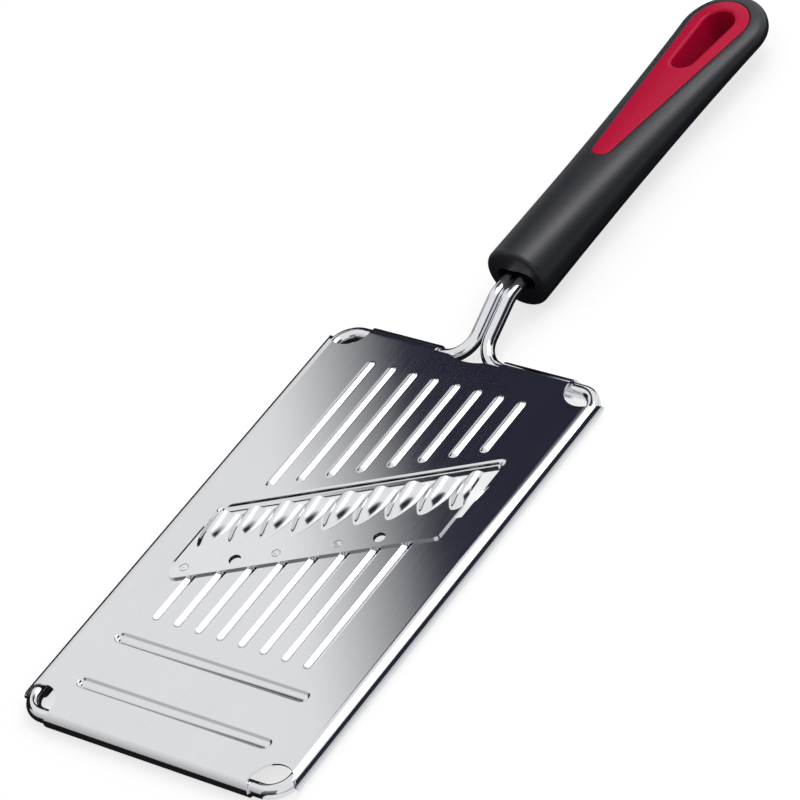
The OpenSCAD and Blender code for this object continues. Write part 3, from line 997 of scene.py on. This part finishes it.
inlay = make_piece("red_inlay", bm, "handle_inlay")

# %% [markdown]
# ## Finishes
#
# Every finish is procedural. Each one starts from the shader's plain values and adds what the eye
# reads as the process behind it: rolling lines in sheet, drawing lines on wire, the spark texture
# of a mould. Fine grain changes the roughness and the bump a little, and the colour hardly at all.

# %% Nodes and grain
def new_material(name):
    material = bpy.data.materials.new(name)
    material.use_nodes = True
    return material, material.node_tree.nodes, material.node_tree.links


def add(nodes, kind, **values):
    node = nodes.new("ShaderNode" + kind)
    for name, value in values.items():
        node.inputs[name.replace("_", " ")].default_value = value
    return node


def combine(nodes, links, operation, *values):
    node = add(nodes, "Math")
    node.operation = operation
    for socket, value in zip(node.inputs, values):
        if isinstance(value, (int, float)):
            socket.default_value = value
        else:
            links.new(value, socket)
    return node.outputs["Value"]


def scaled(nodes, links, value, low, high, from_low=0, from_high=1):
    span = add(nodes, "MapRange", From_Min=from_low, From_Max=from_high, To_Min=low, To_Max=high)
    links.new(value, span.inputs["Value"])
    return span.outputs["Result"]


def noise(nodes, links, vector, scale, detail):
    texture = add(nodes, "TexNoise", Scale=scale, Detail=detail)
    links.new(vector, texture.inputs["Vector"])
    return texture.outputs["Fac"]


# %% [markdown]
# One function makes a finish and puts it on a piece. After the colour come the roughness, the
# grain's stretch along x, y and z, how far the roughness varies, and the bump's depth in millimetres.

# %% A finish with grain
broad_scale = 45
fine_share, broad_share = 0.6, 0.4
grain_low, grain_high = 0.3, 0.7
darker, lighter = 0.94, 1.06


def finish(piece, name, colour, roughness, stretch, vary, bump, metallic=1, mirror=0.5):
    material, nodes, links = new_material(name)
    shader = nodes["Principled BSDF"]
    shader.inputs["Metallic"].default_value = metallic
    shader.inputs["Specular IOR Level"].default_value = mirror
    place = add(nodes, "TexCoord").outputs["Object"]
    stretched = add(nodes, "Mapping", Scale=stretch)
    links.new(place, stretched.inputs["Vector"])
    fine = noise(nodes, links, stretched.outputs["Vector"], 1, 4)
    broad = combine(nodes, links, "MULTIPLY", noise(nodes, links, place, broad_scale, 3), broad_share)
    grain = combine(nodes, links, "MULTIPLY_ADD", fine, fine_share, broad)
    rough = scaled(nodes, links, grain, roughness - vary, roughness + vary, grain_low, grain_high)
    links.new(rough, shader.inputs["Roughness"])
    tint = add(nodes, "Mix")
    tint.data_type = "RGBA"
    tint.inputs[6].default_value = (*[c * darker for c in colour], 1)
    tint.inputs[7].default_value = (*[min(c * lighter, 1) for c in colour], 1)
    links.new(grain, tint.inputs[0])
    links.new(tint.outputs[2], shader.inputs["Base Color"])
    relief_node = add(nodes, "Bump", Strength=1, Distance=bump * MM)
    links.new(fine, relief_node.inputs["Height"])
    links.new(relief_node.outputs["Normal"], shader.inputs["Normal"])
    piece.data.materials.clear()
    piece.data.materials.append(material)


# %% [markdown]
# The plate is satin sheet, the wire is drawn and polished, and the blade is ground bright. The
# plastics differ in gloss: the grip has a spark-eroded texture, and the inlay is smooth and soft.

# %% Finish every piece
finish(plate, "satin_steel", (0.7, 0.71, 0.73), 0.09, (900, 60, 900), 0.02, 0.00015)
finish(wire, "polished_wire", (0.72, 0.73, 0.76), 0.1, (300, 300, 300), 0.02, 0.0003)
finish(blade, "bright_blade", (0.74, 0.75, 0.77), 0.1, (700, 150, 700), 0.02, 0.0002)
finish(rivets, "rivet_steel", (0.8, 0.81, 0.83), 0.2, (900, 900, 900), 0.05, 0.0006)
finish(grip, "spark_textured_black", (0.01, 0.011, 0.0155), 0.42, (2200, 2200, 2200), 0.06, 0.04,
       metallic=0, mirror=0.4)
finish(inlay, "soft_red", (0.435, 0.002, 0.034), 0.34, (1800, 1800, 1800), 0.04, 0.005,
       metallic=0, mirror=0.15)
dressed = {
    "cutting_plate": plate, "wire_frame": wire, "waffle_blade": blade,
    "blade_rivets": rivets, "handle_body": grip, "handle_inlay": inlay,
}
for node in frame["nodes"].values():
    node.data.materials.clear()
    node.data.materials.append(dressed[node.name].data.materials[0])
print("finishes:", ", ".join(piece.data.materials[0].name for piece in dressed.values()))

# %% [markdown]
# ## Camera
#
# The picture is taken from the right, above the lower edge, with a long lens and a rolled camera,
# so that the cutter lies across the frame from corner to corner.

# %% Place the camera
azimuth = math.radians(51)
elevation = math.radians(39.4)
roll = math.radians(22.95)
camera_distance = 1500
aim = Vector((-10.92, -21.83, plate_top))
toward_camera = Vector((
    math.sin(azimuth) * math.cos(elevation),
    -math.cos(azimuth) * math.cos(elevation),
    math.sin(elevation),
))
camera_data = bpy.data.cameras.new("studio_camera")
camera_data.lens = 207.57
camera_data.sensor_width = 36
camera_data.clip_end = 50
camera = bpy.data.objects.new("studio_camera", camera_data)
bpy.context.scene.collection.objects.link(camera)
camera.location = (aim + toward_camera * camera_distance) * MM
camera.rotation_mode = "QUATERNION"
level = (-toward_camera).to_track_quat("-Z", "Y")
camera.rotation_quaternion = level @ Quaternion((0, 0, 1), -roll)
bpy.context.scene.camera = camera
print(f"the camera is {camera_distance} mm away, with a lens of {camera_data.lens:.0f} mm")

# %% [markdown]
# ## Studio
#
# The surroundings are white. They shine with strength 1 towards the camera and towards mirror-like
# surfaces, and light the matte ones with half of that.

# %% White surroundings
room_light, room_shine = 0.5, 1


def seen_directly(nodes, links):
    path = add(nodes, "LightPath")
    total = path.outputs["Is Camera Ray"]
    for kind in ("Is Glossy Ray", "Is Transmission Ray"):
        total = combine(nodes, links, "MAXIMUM", total, path.outputs[kind])
    return total


world = bpy.data.worlds.new("white_room")
bpy.context.scene.world = world
world.use_nodes = True
room_nodes, room_links = world.node_tree.nodes, world.node_tree.links
backdrop = room_nodes["Background"]
backdrop.inputs["Color"].default_value = (1, 1, 1, 1)
shine = scaled(room_nodes, room_links, seen_directly(room_nodes, room_links), room_light, room_shine)
room_links.new(shine, backdrop.inputs["Strength"])
print(f"the room shines with {room_shine} and lights with {room_light}")

# %% [markdown]
# The floor is white paper. It takes light and shadow, and a glow that only the camera and
# mirror-like surfaces see keeps it white in the picture.

# %% White floor
paper_white = 0.45
paper_shine = 0.7


def flat_card(name, corners, material):
    mesh = bpy.data.meshes.new(name)
    mesh.from_pydata([Vector(c) * MM for c in corners], [], [tuple(range(len(corners)))])
    card = bpy.data.objects.new(name, mesh)
    bpy.context.scene.collection.objects.link(card)
    mesh.materials.append(material)
    return card


paper, paper_nodes, paper_links = new_material("white_paper")
paper_nodes.clear()
paper_out = add(paper_nodes, "OutputMaterial")
paper_sum = add(paper_nodes, "AddShader")
paper_matte = add(paper_nodes, "BsdfDiffuse", Color=(paper_white, paper_white, paper_white, 1))
paper_glow = add(paper_nodes, "Emission")
shine = scaled(paper_nodes, paper_links, seen_directly(paper_nodes, paper_links), 0, paper_shine)
paper_links.new(shine, paper_glow.inputs["Strength"])
paper_links.new(paper_matte.outputs["BSDF"], paper_sum.inputs[0])
paper_links.new(paper_glow.outputs["Emission"], paper_sum.inputs[1])
paper_links.new(paper_sum.outputs["Shader"], paper_out.inputs["Surface"])
floor_half = 6000
floor_z = -0.2
corner_signs = ((-1, -1), (1, -1), (1, 1), (-1, 1))
flat_card("floor", [(x * floor_half, y * floor_half, floor_z) for x, y in corner_signs], paper)
print(f"the floor lies {-floor_z} mm under the cutter")

# %% [markdown]
# White metal in a white room would vanish, so dark cards give it its edges. A card's place follows
# from what it should darken: a ray from the camera to a spot on the plate is bounced off, and the
# card stands where the bounced ray goes. The cards act only on mirror-like reflections.

# %% Dark cards
def dark_paint(name, colour):
    material, nodes, links = new_material(name)
    nodes.clear()
    out = add(nodes, "OutputMaterial")
    glow = add(nodes, "Emission", Color=(*colour, 1), Strength=1)
    clear = add(nodes, "BsdfTransparent")
    cover = add(nodes, "Attribute")
    cover.attribute_name = "cover"
    edge = add(nodes, "MixShader")
    links.new(cover.outputs["Fac"], edge.inputs["Fac"])
    links.new(clear.outputs["BSDF"], edge.inputs[1])
    links.new(glow.outputs["Emission"], edge.inputs[2])
    links.new(edge.outputs["Shader"], out.inputs["Surface"])
    return material


def dark_card(name, near_row, far_row, material, near_cover=1, far_cover=1):
    corners = near_row + far_row[::-1]
    card = flat_card(name, corners, material)
    cover = card.data.attributes.new("cover", "FLOAT", "POINT")
    cover.data.foreach_set("value", [near_cover] * len(near_row) + [far_cover] * len(far_row))
    card.visible_camera = False
    card.visible_diffuse = False
    card.visible_transmission = False
    card.visible_volume_scatter = False
    card.visible_shadow = False


def bounced(x, v, distance=700):
    spot = Vector((x, plate_low.y + v, plate_top))
    ray = (spot - camera.location / MM).normalized()
    return spot + Vector((ray.x, ray.y, -ray.z)) * distance


def toward(left_of_far, height_angle, distance=900):
    a, e = math.radians(left_of_far), math.radians(height_angle)
    return Vector((-math.sin(a) * math.cos(e), math.cos(a) * math.cos(e), math.sin(e))) * distance


# %% [markdown]
# The largest card shades the upper right half of the plate. Its soft edge crosses the plate at a
# slant, and it goes on to the right with less cover.

# %% Shade the plate
navy = dark_paint("navy_card", (0.024, 0.026, 0.044))
black = dark_paint("black_card", (0.012, 0.012, 0.014))
shade_lean = -0.93
light_edge, dark_edge = 79, 139
shade_near, shade_middle, shade_far = 20, 80, 214
shade_right, shade_end = 120, 400
light_row = [bounced(light_edge + shade_lean * v, v) for v in (shade_far, shade_near)]
dark_row = [bounced(dark_edge + shade_lean * v, v) for v in (shade_far, shade_near)]
dark_card("shade_edge", light_row, dark_row, navy, near_cover=0)
dark_card("shade", dark_row, [bounced(shade_right, v) for v in (shade_far, shade_near)], navy)
right_rows = [[bounced(x, v) for v in (shade_far, shade_middle)] for x in (shade_right, shade_end)]
dark_card("shade_to_right", right_rows[0], right_rows[1], navy, far_cover=0.4)
print(f"the shade's soft edge is {dark_edge - light_edge} mm wide on the plate")

# %% [markdown]
# The other cards stand round the cutter and draw the dark lines along its rolled edges and flutes.
# Each has a reach round the cutter and a reach in height, in degrees, and its cover at the foot and
# at the top. One pair stands round the handle's middle and shades the handle's top and left flank.

# %% Stand cards round the cutter
foot = -1


def standing_card(name, reach, heights, material, covers=(1, 1)):
    low_row, high_row = [[toward(a, height) for a in reach] for height in heights]
    dark_card(name, low_row, high_row, material, *covers)


standing_card("left_haze", (40, 80), (foot, 40), black, (0.2, 0))
standing_card("near_left_haze", (114, 200), (foot, 50), black, (0.55, 0))
standing_card("front_card", (80, 114), (foot, 32), black)
standing_card("right_card", (-72, -102), (foot, 38), navy)
standing_card("right_card_edge", (-72, -102), (38, 52), navy, (1, 0))
handle_middle = Vector((0, plate_low.y + handle_start + handle_l / 2, 0))
handle_reach = ((foot, 66), (46, 56), (58, 54))
handle_rows = [[handle_middle + toward(a, height) for a in (40, far_a)] for height, far_a in handle_reach]
dark_card("handle_shade", handle_rows[0], handle_rows[1], navy)
dark_card("handle_shade_edge", handle_rows[1], handle_rows[2], navy, far_cover=0)
standing_card("right_line", (-46, -80), (foot, 38), navy)
standing_card("horizon_card", (20, 50), (foot, 7), black)
standing_card("near_card", (165, 205), (foot, 44), black, (1, 0.6))
print(f"the handle's cards stand round y = {handle_middle.y:.1f} mm")

# %% [markdown]
# The rolled edges also mirror the table, so dark sheets lie round the cutter. A window under the
# slot lets the flutes see white, the right sheet has a soft inner edge, and a low kerb draws the
# fine dark line of the left edge.

# %% Lay sheets on the table
table = 420
table_z = -0.1
window_x, window_low, window_high = 46, 113, 160
edge_from, edge_to = 60, 140
kerb_x, kerb_top = -72, 8.5


def on_table(x, v):
    return x, plate_low.y + v, table_z


def along_table(x):
    return [on_table(x, -table), on_table(x, table)]


def across_table(v):
    return [on_table(-window_x, v), on_table(window_x, v)]


window = [[on_table(x, slanted(v, x)) for x in (-window_x, window_x)] for v in (window_low, window_high)]
dark_card("table_near", across_table(-table), window[0], black)
dark_card("table_far", window[1], across_table(table), black)
dark_card("table_right_edge", along_table(edge_from), along_table(edge_to), black, near_cover=0.2)
dark_card("table_right", along_table(edge_to), along_table(table), black)
kerb_foot = along_table(kerb_x)
dark_card("table_left", kerb_foot, along_table(-window_x), black)
dark_card("kerb", kerb_foot, [(x, y, kerb_top) for x, y, z in kerb_foot], black)
print(f"window in the dark table: {2 * window_x} x {window_high - window_low} mm")

# %% [markdown]
# A large softbox hangs overhead, a little to the back and right. It whitens the rolled edges and
# gives the floor a soft shadow. Black plastic mirrors only a few per cent of what it faces, so a
# second, smaller lamp is linked to the two plastics alone and draws their broad highlight.

# %% Softboxes
def softbox(name, place, size, power, receivers=()):
    data = bpy.data.lights.new(name, "AREA")
    data.shape = "RECTANGLE"
    data.size, data.size_y = size[0] * MM, size[1] * MM
    data.energy = power
    lamp = bpy.data.objects.new(name, data)
    bpy.context.scene.collection.objects.link(lamp)
    lamp.location = Vector(place) * MM
    lamp.rotation_mode = "QUATERNION"
    lamp.rotation_quaternion = (-Vector(place)).to_track_quat("-Z", "Y")
    if receivers:
        lit = bpy.data.collections.new(name)
        for piece in receivers:
            lit.objects.link(piece)
        lamp.light_linking.receiver_collection = lit
    print(f"{name}: {power} W over {size[0]} x {size[1]} mm")


softbox("overhead_softbox", (300, 620, 1100), (900, 900), 5)
softbox("plastics_softbox", (340, 620, 1000), (520, 560), 5, (grip, inlay))

# %% [markdown]
# The view transform is the standard one, so the white paper is plain white in the picture.

# %% Finish
bpy.context.scene.view_settings.view_transform = "Standard"
